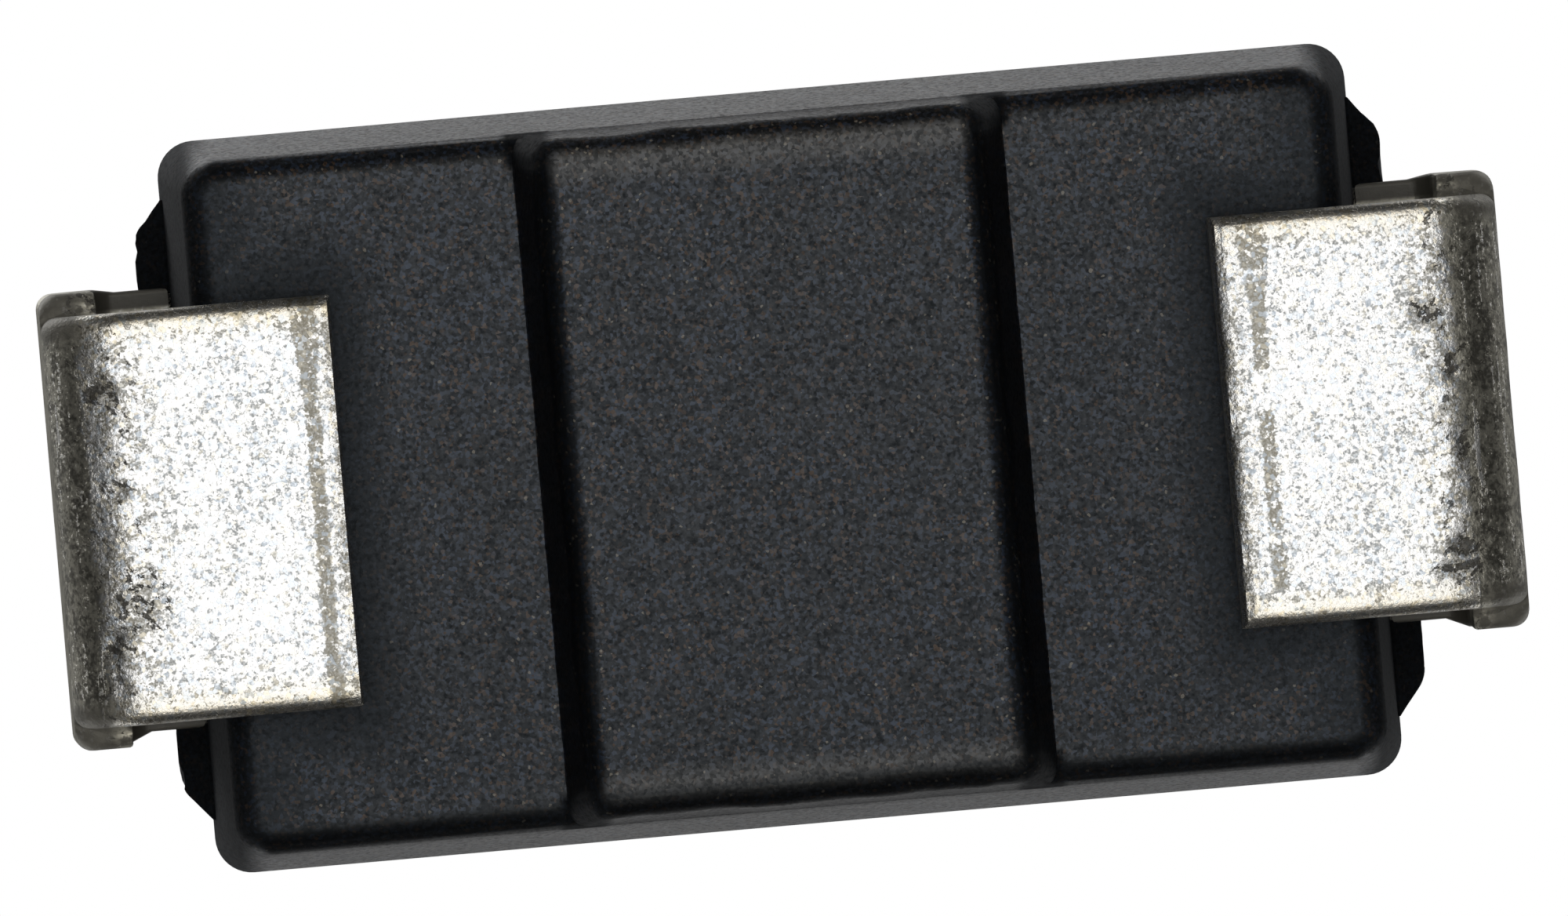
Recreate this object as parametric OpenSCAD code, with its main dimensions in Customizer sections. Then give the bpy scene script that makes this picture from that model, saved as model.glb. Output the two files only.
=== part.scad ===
// Surface-mount barrier diode: a moulded body on two leads that fold under its ends.
// The feet stand on z = 0, the length runs along X and the cathode is at -X. Millimetres.

/* [Moulded body] */
// Length at the parting line
body_l = 4.22; // [3.9:0.02:4.6]
// Width at the parting line
body_w = 2.60; // [2.2:0.02:3.0]
// Height of the top face above the board
body_top = 2.20; // [1.95:0.05:2.6]
// Draft of the side and end walls, in degrees
draft = 5.5; // [3:0.5:9]
// Plan radius of the four corners
corner_r = 0.13; // [0.1:0.01:0.2]
// Rounding where the walls meet the top and the end panels
edge_r = 0.10; // [0.04:0.01:0.1]
// Upright land left where the two mould halves meet
parting_land = 0.02; // [0.01:0.01:0.06]

/* [Ledge beside the leads] */
// How far the ledge stands out from the end wall
ledge_out = 0.105; // [0.06:0.005:0.16]
// Distance from the body's long sides to the root of the ledge
ledge_side = 0.20; // [0.14:0.01:0.3]
// How far each flank of the ledge slants in towards its outer edge
ledge_flank = 0.12; // [0.02:0.01:0.16]
// Rounding of the ledge's outer corners
ledge_r = 0.04; // [0.01:0.01:0.06]
// Thickness of the ledge's outer edge. At the wall it is as thick as the strip.
ledge_edge = 0.07; // [0.04:0.01:0.12]

/* [Pedestal under the body] */
// Gap between the pedestal and the board
standoff = 0.06; // [0.03:0.01:0.1]
// Length of the pedestal at its root
pedestal_l = 1.73; // [1.2:0.01:2.2]
// Slope of its two end walls, in degrees
pedestal_slope = 20; // [8:1:30]
// Rounding round the pedestal's face
pedestal_r = 0.10; // [0.04:0.01:0.1]
// How far its sides sit inside the body's side walls
pedestal_inset = 0.008; // [0.008:0.002:0.05]

/* [Leads] */
// Thickness of the plated strip
lead_t = 0.20; // [0.15:0.01:0.26]
// Width of the foot
lead_w = 1.45; // [1.25:0.01:1.6]
// How far the upright part stands out on each side of the foot
ear_out = 0.08; // [0.04:0.01:0.12]
// How far the neck at the body stands out on each side of the foot
neck_out = 0.045; // [0:0.005:0.1]
// Rounding of the ears' lower corners
ear_r = 0.05; // [0.02:0.01:0.06]
// Length of the foot, from the outer face of the lead
foot_l = 1.03; // [0.8:0.01:1.4]
// Height of the strip's middle where it leaves the body
exit_h = 1.15; // [1.0:0.01:1.3]
// Straight run between the ledge and the first bend
exit_run = 0.085; // [0.04:0.005:0.2]
// Inside radius of the two bends
bend_r = 0.08; // [0.05:0.01:0.14]
// Inward lean of the upright part, in degrees
lead_lean = 1; // [0:0.5:8]
// Rounding that the punch leaves on the outer face
roll_r = 0.06; // [0.02:0.005:0.08]
// Clear gap between the foot and the end panel above it
foot_gap = 0.10; // [0.04:0.01:0.16]

/* [Chip and its joints] */
// Side of the square chip
die_l = 1.20; // [1.0:0.02:1.4]
// Thickness of the chip
die_t = 0.25; // [0.2:0.01:0.35]
// Thickness of each solder layer
solder_t = 0.04; // [0.02:0.005:0.07]
// Side of the square contact on top of the chip
contact_l = 0.90; // [0.7:0.02:1.0]
// Margin of the cathode pad round the chip
pad_margin = 0.12; // [0.05:0.01:0.2]
// Full-width length of lead held inside the end wall
entry_l = 0.30; // [0.15:0.01:0.4]
// Distance from the chip's edge to the joggle in each lead
joggle_gap = 0.40; // [0.3:0.01:0.5]
// Slope of the joggle, in degrees
joggle_slope = 45; // [35:1:55]
// Inside radius of the joggle's bends
joggle_r = 0.06; // [0.04:0.01:0.1]

/* [Polarity band] */
// Width of the band across the cathode end of the top
band_w = 0.50; // [0.3:0.02:0.7]
// Distance from the end of the top face to the band
band_in = 0.30; // [0.15:0.01:0.5]
// Bare margin at each end of the band
band_margin = 0.14; // [0.1:0.01:0.4]
// Depth of the marked surface
band_depth = 0.010; // [0.005:0.001:0.02]

/* [Hidden] */
$fn = 32;
arc_steps = 8;

epoxy_colour = [0.16, 0.165, 0.18];
tin_colour = [0.82, 0.81, 0.78];
silicon_colour = [0.30, 0.31, 0.36];
solder_colour = [0.62, 0.63, 0.65];

// The two bends of each lead: axes, and the upright part between them
ear_w = lead_w + 2 * ear_out;
neck_w = lead_w + 2 * min(neck_out, ear_out);
bend_x = body_l / 2 + ledge_out + exit_run;
upper_z = exit_h - lead_t / 2 - bend_r;
lower_z = lead_t + bend_r;
lower_x = bend_x - (upper_z - lower_z) * tan(lead_lean);
drop_l = (upper_z - lower_z) / cos(lead_lean);
lead_span = 2 * (bend_x + bend_r + lead_t);
foot_run = lower_x - (lead_span / 2 - foot_l);

// The joggle that brings each lead from the parting line to its face of the chip
joggle_h = (die_t + lead_t) / 2 + solder_t;
joggle_mid_r = joggle_r + lead_t / 2;
joggle_ramp = (joggle_h - 2 * joggle_mid_r * (1 - cos(joggle_slope))) / sin(joggle_slope);
joggle_run = 2 * joggle_mid_r * sin(joggle_slope) + joggle_ramp * cos(joggle_slope);
joggle_in_x = die_l / 2 + joggle_gap;
joggle_out_x = joggle_in_x + joggle_run;
taper_x = max(body_l / 2 - entry_l, joggle_out_x + joggle_r);
pad_w = die_l + 2 * pad_margin;

// Heights that the lead and its clearance set
floor_z = lead_t + foot_gap;
root_z = floor_z + edge_r;

// How far a wall that leans by an angle has drawn in, a given height from its root, at the point of its
// rounded edge that faces the other angle. The rounding is tangent to the wall.
function drawn_in(height, lean, r, facing) = (height - r) * tan(lean) + r / cos(lean) - r * cos(facing);

// Points of a rounded rectangle at one level, given as [z, length, width, corner radius]
function rim(level) = [
    for (corner = [0 : 3], i = [0 : arc_steps])
        let (a = 90 * (corner + i / arc_steps), r = level[3])
        let (middle = 45 + 90 * corner, x = level[1] / 2 - r, y = level[2] / 2 - r)
        [x * sign(cos(middle)) + r * cos(a), y * sign(sin(middle)) + r * sin(a), level[0]]
];

// A closed skin through levels that are listed from the lowest to the highest
module loft(levels) {
    n = len(rim(levels[0]));
    top = n * (len(levels) - 1);
    walls = [
        for (k = [0 : len(levels) - 2], i = [0 : n - 1])
            [k * n + i, k * n + n + i, k * n + n + (i + 1) % n, k * n + (i + 1) % n]
    ];
    ends = [[for (i = [0 : n - 1]) i], [for (i = [0 : n - 1]) top + n - 1 - i]];
    polyhedron([for (level = levels) each rim(level)], concat(walls, ends));
}

// Levels of a rounded edge, from its wall to its face. The wall leans by one angle along the length and
// by another along the width, and ends at the face height z, after rising from an l by w root.
function edge_levels(l, w, height, z, up, l_lean, w_lean, r) = [
    for (i = [0 : arc_steps])
        let (start = max(l_lean, w_lean), facing = start + (90 - start) * i / arc_steps)
        [
            z - up * r * (1 - sin(facing)),
            l - 2 * drawn_in(height, l_lean, r, facing),
            w - 2 * drawn_in(height, w_lean, r, facing),
            corner_r - r / cos(w_lean) + r * cos(facing)
        ]
];

function reversed(list) = [for (i = [len(list) - 1 : -1 : 0]) list[i]];

// The drafted block that the two mould halves make together
module drafted_block() {
    land = parting_land / 2;
    lower = edge_levels(body_l, body_w, exit_h - land - floor_z, floor_z, -1, draft, draft, edge_r);
    upper = edge_levels(body_l, body_w, body_top - exit_h - land, body_top, 1, draft, draft, edge_r);
    parting = [for (side = [-1, 1]) [exit_h + side * land, body_l, body_w, corner_r]];
    loft(concat(reversed(lower), parting, upper));
}

// The raised middle of the underside, with sloping end walls. Its root is inside the body.
module pedestal() {
    root_l = pedestal_l + 2 * edge_r * tan(pedestal_slope);
    root_w = body_w - 2 * (exit_h - root_z) * tan(draft) - 2 * pedestal_inset;
    face = edge_levels(root_l, root_w, root_z - standoff, standoff, -1, pedestal_slope, draft, pedestal_r);
    loft(concat(reversed(face), [[root_z, root_l, root_w, corner_r]]));
}

// The moulded ledge beside both leads. It fills the height of the strip at the wall and thins outwards.
module ledges() {
    root = [body_l / 2, body_w / 2 - ledge_side];
    tip = root + [ledge_out, -ledge_flank];
    outline = [
        [tip.x, tip.y], [root.x, root.y], [-root.x, root.y], [-tip.x, tip.y],
        [-tip.x, -tip.y], [-root.x, -root.y], [root.x, -root.y], [tip.x, -tip.y]
    ];
    taper = [
        [tip.x, ledge_edge / 2], [root.x, lead_t / 2], [-root.x, lead_t / 2], [-tip.x, ledge_edge / 2],
        [-tip.x, -ledge_edge / 2], [-root.x, -lead_t / 2], [root.x, -lead_t / 2], [tip.x, -ledge_edge / 2]
    ];
    translate([0, 0, exit_h]) intersection() {
        linear_extrude(lead_t, center = true)
            offset(r = ledge_r) offset(delta = -ledge_r) polygon(outline);
        rotate([90, 0, 0]) linear_extrude(body_w, center = true) polygon(taper);
    }
}

// The band that marks the cathode, cut into the top face
module polarity_band() {
    draw = drawn_in(body_top - exit_h, draft, edge_r, 90);
    flat_l = body_l - 2 * draw;
    flat_w = body_w - 2 * draw;
    translate([-flat_l / 2 + band_in, -flat_w / 2 + band_margin, body_top - band_depth])
        cube([band_w, flat_w - 2 * band_margin, 2 * band_depth]);
}

// Section of the strip: the inner face at x = 0, the outer face with its rounded edges at x = lead_t
module strip_section(w) {
    translate([0, -w / 2]) square([lead_t - roll_r, w]);
    translate([0, roll_r - w / 2]) square([lead_t, w - 2 * roll_r]);
    for (side = [-1, 1])
        translate([lead_t - roll_r, side * (w / 2 - roll_r)]) circle(roll_r);
}

// A bend of the strip about an axis along Y, swept from one angle to another, counted from +X towards +Z
module strip_bend(from, to) {
    rotate([0, -from, 0]) rotate([90, 0, 0])
        rotate_extrude(angle = to - from)
            translate([bend_r, 0]) children();
}

// Outline, seen from above, that trims the first bend from the neck to the ears
module ear_outline() {
    far_x = lead_span;
    translate([0, 0, floor_z])
        linear_extrude(body_top)
            polygon([
                [bend_x, -neck_w / 2], [bend_x + ear_out, -ear_w / 2], [far_x, -ear_w / 2],
                [far_x, ear_w / 2], [bend_x + ear_out, ear_w / 2], [bend_x, neck_w / 2]
            ]);
}

// The upright part with its ears, whose lower corners are rounded
module upright() {
    r = min(ear_r, ear_out);
    intersection() {
        linear_extrude(drop_l) strip_section(ear_w);
        rotate([90, 0, 90]) linear_extrude(lead_t) hull() {
            for (side = [-1, 1])
                translate([side * (ear_w / 2 - r), r]) circle(r);
            translate([-ear_w / 2, drop_l / 2]) square([ear_w, drop_l / 2]);
        }
    }
}

// The flat foot, its tip at z = 0. The punch rounds the tip's outer edge like the sides.
module foot() {
    difference() {
        linear_extrude(foot_run) strip_section(lead_w);
        translate([lead_t - roll_r, 0, 0]) difference() {
            translate([0, -lead_w, -roll_r]) cube([2 * roll_r, 2 * lead_w, 2 * roll_r]);
            translate([0, 0, roll_r]) rotate([90, 0, 0]) cylinder(r = roll_r, h = 3 * lead_w, center = true);
        }
    }
}

// Places a shape in the leaning frame of the upright part, at the axis of the first bend
module at_first_bend() {
    translate([bend_x, 0, upper_z]) rotate([0, lead_lean, 0]) children();
}

// The lead outside the body: first bend, upright part with its ears, second bend and foot
module folded_lead() {
    intersection() {
        at_first_bend() strip_bend(0, 90 + lead_lean) strip_section(ear_w);
        ear_outline();
    }
    at_first_bend() translate([0, 0, -drop_l]) {
        translate([bend_r, 0, 0]) upright();
        strip_bend(0, lead_lean - 90) strip_section(lead_w);
        rotate([0, 90 - lead_lean, 0]) translate([bend_r, 0, -foot_run]) foot();
    }
}

// Points along an arc, from one angle to another
function arc(x, z, r, from, to) =
    [for (i = [0 : arc_steps]) let (a = from + (to - from) * i / arc_steps) [x + r * cos(a), z + r * sin(a)]];

// Side view of the lead inside the body: flat run, joggle, and the flat end that meets the chip.
// Heights are counted from the middle of the strip where it leaves the body.
function buried_side(end_x) = concat(
    [[bend_x, -lead_t / 2]],
    arc(joggle_out_x, joggle_mid_r, joggle_r + lead_t, -90, -90 - joggle_slope),
    arc(joggle_in_x, joggle_h - joggle_mid_r, joggle_r, 90 - joggle_slope, 90),
    [[end_x, joggle_h - lead_t / 2], [end_x, joggle_h + lead_t / 2]],
    arc(joggle_in_x, joggle_h - joggle_mid_r, joggle_r + lead_t, 90, 90 - joggle_slope),
    arc(joggle_out_x, joggle_mid_r, joggle_r, -90 - joggle_slope, -90),
    [[bend_x, lead_t / 2]]
);

// The lead from the first bend into the body, tapering to a chip end of width w that stops at end_x
module buried_lead(w, end_x) {
    widest = max(neck_w, w);
    intersection() {
        rotate([90, 0, 0])
            linear_extrude(2 * widest, center = true) polygon(buried_side(end_x));
        linear_extrude(2 * body_top, center = true)
            polygon([
                [bend_x, neck_w / 2], [taper_x, neck_w / 2], [joggle_out_x, w / 2], [end_x, w / 2],
                [end_x, -w / 2], [joggle_out_x, -w / 2], [taper_x, -neck_w / 2], [bend_x, -neck_w / 2]
            ]);
    }
}

// The anode's tongue lies on the contact above the chip
module buried_anode() {
    translate([0, 0, exit_h]) buried_lead(contact_l, -contact_l / 2);
}

// The cathode's pad lies under the whole chip
module buried_cathode() {
    translate([0, 0, exit_h]) mirror([1, 0, 0]) mirror([0, 0, 1]) buried_lead(pad_w, -pad_w / 2);
}

// A square layer of the chip's stack, on the middle of the part
module stack_layer(side, from_z, height) {
    translate([-side / 2, -side / 2, exit_h + from_z]) cube([side, side, height]);
}

module silicon_die() {
    color(silicon_colour) stack_layer(die_l, -die_t / 2, die_t);
}

module die_solder() {
    color(solder_colour) stack_layer(die_l, -die_t / 2 - solder_t, solder_t);
}

module contact_solder() {
    color(solder_colour) stack_layer(contact_l, die_t / 2, solder_t);
}

module anode_lead() {
    color(tin_colour) {
        buried_anode();
        folded_lead();
    }
}

module cathode_lead() {
    color(tin_colour) {
        buried_cathode();
        mirror([1, 0, 0]) folded_lead();
    }
}

// The moulding closes on the leads and the chip, so their shapes are its cavity
module moulded_body() {
    color(epoxy_colour)
        difference() {
            union() {
                drafted_block();
                pedestal();
                ledges();
            }
            buried_anode();
            buried_cathode();
            silicon_die();
            die_solder();
            contact_solder();
            polarity_band();
        }
}

moulded_body();
cathode_lead();
anode_lead();
silicon_die();
die_solder();
contact_solder();
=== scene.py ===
"""Dresses a surface-mount barrier diode: moulded epoxy body, folded tin-plated leads, chip and stage."""

import math
from collections import namedtuple
from types import SimpleNamespace

import bmesh
import bpy
from bpy.props import FloatProperty, FloatVectorProperty, PointerProperty
from mathutils import Matrix, Vector, noise


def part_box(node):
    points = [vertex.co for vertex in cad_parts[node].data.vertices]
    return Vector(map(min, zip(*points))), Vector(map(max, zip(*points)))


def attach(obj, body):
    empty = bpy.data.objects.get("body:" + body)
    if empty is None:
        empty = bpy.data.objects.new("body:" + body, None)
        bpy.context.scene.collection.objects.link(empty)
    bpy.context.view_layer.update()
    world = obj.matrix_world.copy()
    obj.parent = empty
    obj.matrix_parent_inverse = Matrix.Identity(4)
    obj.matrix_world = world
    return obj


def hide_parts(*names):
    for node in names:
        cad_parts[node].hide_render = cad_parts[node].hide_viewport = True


bl_info = {
    "name": "Surface-mount diode",
    "version": (1, 0, 0),
    "blender": (4, 5, 0),
    "location": "View3D > Sidebar > Diode",
    "description": "Models a small moulded diode with folded leads, and its stage",
    "category": "Add Mesh",
}

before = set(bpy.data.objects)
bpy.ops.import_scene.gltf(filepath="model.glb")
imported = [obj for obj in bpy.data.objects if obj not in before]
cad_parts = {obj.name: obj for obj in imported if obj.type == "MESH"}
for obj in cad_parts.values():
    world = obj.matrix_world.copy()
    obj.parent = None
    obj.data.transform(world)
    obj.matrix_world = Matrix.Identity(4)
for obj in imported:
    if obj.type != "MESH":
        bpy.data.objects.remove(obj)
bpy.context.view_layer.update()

# The pieces are modelled in millimetres and written to their meshes in metres
MM = 0.001
IMAGE_W = 2000
SENSOR_W = 36.0
PIXELS_PER_MM = 360
ACROSS = Vector((0, 1, 0))

# Grains of the finishes, to the millimetre
EPOXY_CLOUDS = 2.6
EPOXY_GRAIN = 58.0
FILLER = 84.0
BARE_FILLER = 110.0
TIN_BROAD = 4.2
TIN_BLOTS = 17.0
TIN_GRAIN = 56.0
TIN_FINE = 130.0
TIN_TINTS = 66.0

# A scuff that the forming tool leaves: its place along and across, its half length and half width,
# and its share of the depth
Scuff = namedtuple("Scuff", "x y length width depth")
# What differs between the two leads
LeadEnd = namedtuple("LeadEnd", "node side chip_w chip_x tip_radius crease scuffs seed")

# Mesh steps along the formed strip
TIP_STEPS = 28
FOOT_STEPS = 24
LOWER_BEND_STEPS = 26
EAR_STEPS = 9
UPRIGHT_STEPS = 24
UPPER_BEND_STEPS = 20
JOGGLE_STEPS = 6


def node_box(name):
    """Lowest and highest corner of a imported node, in millimetres."""
    low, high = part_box(name)
    return low / MM, high / MM


BODY_LOW, BODY_HIGH = node_box("moulded_body")
ANODE_LOW, ANODE_HIGH = node_box("anode_lead")
CATHODE_LOW, CATHODE_HIGH = node_box("cathode_lead")
DIE_LOW, DIE_HIGH = node_box("silicon_die")
CONTACT_LOW, CONTACT_HIGH = node_box("contact_solder")

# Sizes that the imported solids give
PARTING_Z = (DIE_LOW.z + DIE_HIGH.z) / 2
STRIP_T = 2 * (CATHODE_HIGH.z - PARTING_Z)
EAR_W = ANODE_HIGH.y - ANODE_LOW.y
LEAD_REACH = ANODE_HIGH.x
JOGGLE_RISE = ANODE_HIGH.z - CATHODE_HIGH.z


def tip_place(size):
    """Where the tip of a foot ends, from the middle of the part."""
    return LEAD_REACH - size.foot_length


def bend_place(size):
    """Where the bends have their axis, from the middle of the part."""
    return LEAD_REACH - size.bend_radius - STRIP_T


def foot_side(size):
    """Where the side of a foot lies, from the middle of the part."""
    return EAR_W / 2 - size.ear_out


def length(description, millimetres):
    """A length property, shown in the scene's units."""
    return FloatProperty(description=description, default=millimetres * MM, unit="LENGTH", precision=6)


def angle(description, degrees):
    """An angle property."""
    return FloatProperty(description=description, default=math.radians(degrees), subtype="ANGLE")


def colour(description, red, green, blue):
    """A colour property, linear."""
    return FloatVectorProperty(description=description, default=(red, green, blue), size=3,
                               subtype="COLOR", min=0.0, max=1.0)


def number(description, value):
    """A plain number."""
    return FloatProperty(description=description, default=value)


class BodySizes(bpy.types.PropertyGroup):
    """Sizes of the moulded body that its box doesn't give."""

    draft: angle("Lean of the walls away from the parting line", 5.5)
    corner_radius: length("Plan radius of the four corners", 0.13)
    edge_radius: length("Rounding where the walls meet the top and the end panels", 0.10)
    parting_land: length("Upright land where the mould halves meet", 0.02)
    panel_height: length("Height of the two end panels above the board", 0.30)
    pedestal_length: length("Length of the raised middle at its root", 1.73)
    pedestal_slope: angle("Slope of the pedestal's end walls", 20)
    pedestal_radius: length("Rounding round the pedestal's face", 0.115)
    pedestal_inset: length("How far its sides sit inside the side walls", 0.002)
    ledge_out: length("How far the ledge stands out from the end wall", 0.105)
    ledge_side: length("Distance from the long sides to the ledge's root", 0.20)
    ledge_flank: length("Slant of each flank of the ledge", 0.12)
    ledge_radius: length("Rounding of the ledge's outer corners", 0.04)
    ledge_edge: length("Thickness of the ledge's outer edge", 0.07)
    ledge_rim: length("Rounding of the rims of that edge", 0.02)
    band_width: length("Width of the cathode band on the top", 0.50)
    band_inset: length("Distance from the end of the top face to the band", 0.30)
    band_margin: length("Bare margin at each end of the band", 0.14)
    band_depth: length("Depth of the marked surface", 0.010)
    unevenness: length("Waviness that the mould leaves along the pedestal's edges", 0.007)
    flash: length("Raggedness of the ledges' outer edges", 0.016)
    facet: length("Spacing of the mesh lines over the pedestal", 0.05)
    ledge_facet: length("Spacing of the mesh lines over the ledges", 0.035)


class LeadSizes(bpy.types.PropertyGroup):
    """Sizes of the formed strip that its box doesn't give."""

    foot_length: length("From the outer face of the lead to the tip", 1.03)
    bend_radius: length("Inside radius of the two bends", 0.08)
    lean: angle("Inward lean of the upright part", 1)
    ear_out: length("How far the upright stands out on each side of the foot", 0.08)
    neck_out: length("How far the neck at the body stands out behind the foot", 0.045)
    neck_front: length("How far the neck stands out in front of the foot", 0.065)
    ear_radius: length("Rounding of the ears' lower corners", 0.05)
    ear_fall: length("How far the ears' lower ends fall back from the outer face", 0.10)
    punch_roll: length("Rounding that the punch leaves along the outer face", 0.055)
    worn_tip: length("Rounding of the anode's worn tip", 0.062)
    crisp_tip: length("Rounding of the cathode's tip", 0.03)
    sheared_edge: length("Rounding of the sheared edges", 0.012)
    entry: length("Full-width length held inside the end wall", 0.30)
    joggle_gap: length("From the chip's edge to the joggle", 0.40)
    joggle_slope: angle("Slope of the joggle", 45)
    joggle_radius: length("Inside radius of the joggle's bends", 0.06)
    cathode_crease: length("From the cathode's tip to its pressed crease", 0.093)
    anode_crease: length("From the anode's tip to its pressed crease", 0.143)
    crease_width: length("Width of the crease's ramp", 0.06)
    crease_step: length("How far the crease lifts the tip", 0.006)
    crease_wander: length("How far the crease strays from a straight line", 0.012)
    scuff_depth: length("Depth of the forming tool's scuffs at the bend", 0.012)
    waviness: length("Slight waviness of the outer face", 0.0022)
    facet: length("Spacing of the mesh lines over the outer face", 0.016)


class Finishes(bpy.types.PropertyGroup):
    """Colours of the finishes, linear."""

    epoxy: colour("Filled moulding compound", 0.0075, 0.0082, 0.0100)
    epoxy_cool: colour("Bluish filler grains", 0.022, 0.038, 0.072)
    epoxy_warm: colour("Brownish filler grains", 0.105, 0.062, 0.034)
    # Also the painted shade in the steps, on the walls' falls and round the feet
    epoxy_dark: colour("Resin between the grains and in the recesses", 0.0012, 0.0013, 0.0015)
    epoxy_rubbed: colour("Edges that have been rubbed", 0.145, 0.138, 0.128)
    speck: colour("Bare filler grains that catch the light", 0.30, 0.27, 0.22)
    band: colour("Marked surface of the cathode band", 0.40, 0.40, 0.39)
    tin_bright: colour("Open faces of the plating's grains", 0.935, 0.93, 0.915)
    tin_grey: colour("Hollows between the grains", 0.35, 0.365, 0.37)
    # Also, in darker shades, the painted shade on the ears, the neck and in the crease
    tin_olive: colour("Hollows along the edges and in the crease", 0.29, 0.275, 0.23)
    # Also the warm tint of the painted highlight along the feet's sides
    tin_warm: colour("Grains with a straw tint", 0.93, 0.86, 0.70)
    tin_cool: colour("Grains with a blue tint", 0.66, 0.75, 0.86)
    # Partly painted shade over the bends
    tin_dull: colour("Plating drawn over the bends and the upright", 0.60, 0.575, 0.485)
    tin_bare: colour("Gouges that the forming tool leaves", 0.10, 0.095, 0.085)
    silicon: colour("Polished chip", 0.22, 0.23, 0.27)
    solder: colour("Dull solder layers", 0.55, 0.56, 0.58)
    floor: colour("Pale floor", 0.82, 0.82, 0.82)


class StageSizes(bpy.types.PropertyGroup):
    """Camera, floor and lamps."""

    frame_width: length("Width that the camera takes in at the parting line", IMAGE_W / PIXELS_PER_MM)
    slide: length("How far the part sits left of the middle of the frame", 0.015)
    roll: angle("Anticlockwise turn of the part in the frame", 4.97)
    tilt_x: angle("Turn of the camera's axis towards the cathode", 1.1)
    tilt_y: angle("Turn of the camera's axis towards the front", 0.8)
    lens: number("Focal length in millimetres, on a 36 mm sensor", 800.0)
    under_light: number("Brightness of the panel that the solder side faces", 1.06)
    bar_light: number("Brightness of the two bars beside that panel", 2.0)
    key_light: number("Brightness of the panel above the front left", 2.5)
    fill_light: number("Brightness of the panel above the front right", 1.7)
    back_light: number("Brightness of the two panels above the back", 1.4)
    floor_radius: length("Radius of the floor", 60)
    floor_gap: length("Clear gap between the floor and the feet", 0.01)
    fade_start: length("Distance at which the floor starts to fade to white", 5)
    fade_end: length("Distance at which the floor is white", 34)
    clear_margin: length("Floor round the part that lets light from below through", 0.6)
    clear_reach: length("How far that clearing runs out from each side of the part", 5.0)
    floor_glow: number("Brightness that the floor shows of its own", 0.18)


def in_millimetres(group):
    """A property group's values as plain numbers, with lengths in millimetres."""
    values = SimpleNamespace()
    for prop in group.bl_rna.properties:
        if prop.type == "FLOAT":
            value = getattr(group, prop.identifier)
            setattr(values, prop.identifier, value / MM if prop.unit == "LENGTH" else value)
    return values


# Mesh helpers

def closed_box(bm, low, high):
    """Adds a box between two corners."""
    low, high = Vector(low), Vector(high)
    place = Matrix.Translation((low + high) / 2) @ Matrix.Diagonal((*(high - low), 1.0))
    bmesh.ops.create_cube(bm, size=1.0, matrix=place)


def round_off(bm, geom, offset, segments, affect="EDGES"):
    """Bevels edges or corners to a circular arc."""
    bmesh.ops.bevel(bm, geom=list(geom), offset=offset, offset_type="OFFSET", affect=affect,
                    segments=segments, profile=0.5, material=-1, clamp_overlap=True, loop_slide=True)


def fillet(radius, lean):
    """Offset from the edge at which a fillet starts, between a level face and a wall that leans."""
    return radius * math.tan((math.pi / 2 - lean) / 2)


def upright_edges(bm):
    """Edges that run straight up."""
    return [e for e in bm.edges if abs((e.verts[1].co - e.verts[0].co).normalized().z) > 0.999]


def level_face(bm, side):
    """The largest face that looks up (side 1) or down (side -1)."""
    return max((f for f in bm.faces if f.normal.z * side > 0.99), key=lambda f: f.calc_area())


def sweep(bm, face, steps, turn=0.0, centre=(0, 0, 0), move=(0, 0, 0)):
    """Carries a section on, straight or round an axis along Y, and returns the face at its new end."""
    section = [face, *face.edges, *face.verts]
    grown = bmesh.ops.spin(bm, geom=section, cent=centre, axis=ACROSS, dvec=Vector(move) / steps,
                           angle=turn, steps=steps, use_merge=False, use_duplicate=False)
    return next(g for g in grown["geom_last"] if isinstance(g, bmesh.types.BMFace))


def cut_line(bm, normal, distance):
    """Cuts a mesh line across the piece, at a distance from the middle of the part."""
    bmesh.ops.bisect_plane(bm, geom=[*bm.verts, *bm.edges, *bm.faces], dist=1e-5,
                           plane_co=Vector(normal) * distance, plane_no=normal)


def slice_up(bm, normal, first, last, pitch):
    """Cuts mesh lines across the piece at an even pitch."""
    count = max(1, round((last - first) / pitch))
    for i in range(1, count):
        cut_line(bm, normal, first + (last - first) * i / count)


def smooth_step(value, low, high):
    """0 below low, 1 above high, with an easy ramp between."""
    share = min(1.0, max(0.0, (value - low) / (high - low)))
    return share * share * (3 - 2 * share)


def ripple(at, coarse, fine, share):
    """Smooth noise in two layers, with their waves counted to the millimetre."""
    return noise.noise(at * coarse) + share * noise.noise(at * fine)


def new_piece(name, bm, scale=MM):
    """Turns a bmesh into an object at the origin."""
    bmesh.ops.scale(bm, vec=(scale, scale, scale), verts=bm.verts)
    mesh = bpy.data.meshes.new(name)
    bm.to_mesh(mesh)
    bm.free()
    piece = bpy.data.objects.new(name, mesh)
    bpy.context.scene.collection.objects.link(piece)
    return piece


def shade(piece, sharp_degrees):
    """Smooth shading, with edges sharper than an angle left crisp."""
    piece.data.shade_smooth()
    piece.data.set_sharp_from_angle(angle=math.radians(sharp_degrees))


def combine(piece, tool, operation):
    """Joins a tool shape to a piece or cuts it out, and removes the tool."""
    modifier = piece.modifiers.new(operation.title(), "BOOLEAN")
    modifier.operation = operation
    modifier.solver = "EXACT"
    modifier.material_mode = "TRANSFER"
    modifier.object = tool
    graph = bpy.context.evaluated_depsgraph_get()
    made = bpy.data.meshes.new_from_object(piece.evaluated_get(graph), depsgraph=graph)
    piece.modifiers.clear()
    old = piece.data
    piece.data = made
    made.name = piece.name
    bpy.data.meshes.remove(old)
    bpy.data.meshes.remove(tool.data)


# Shader helpers

PRINCIPLED = "ShaderNodeBsdfPrincipled"


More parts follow.
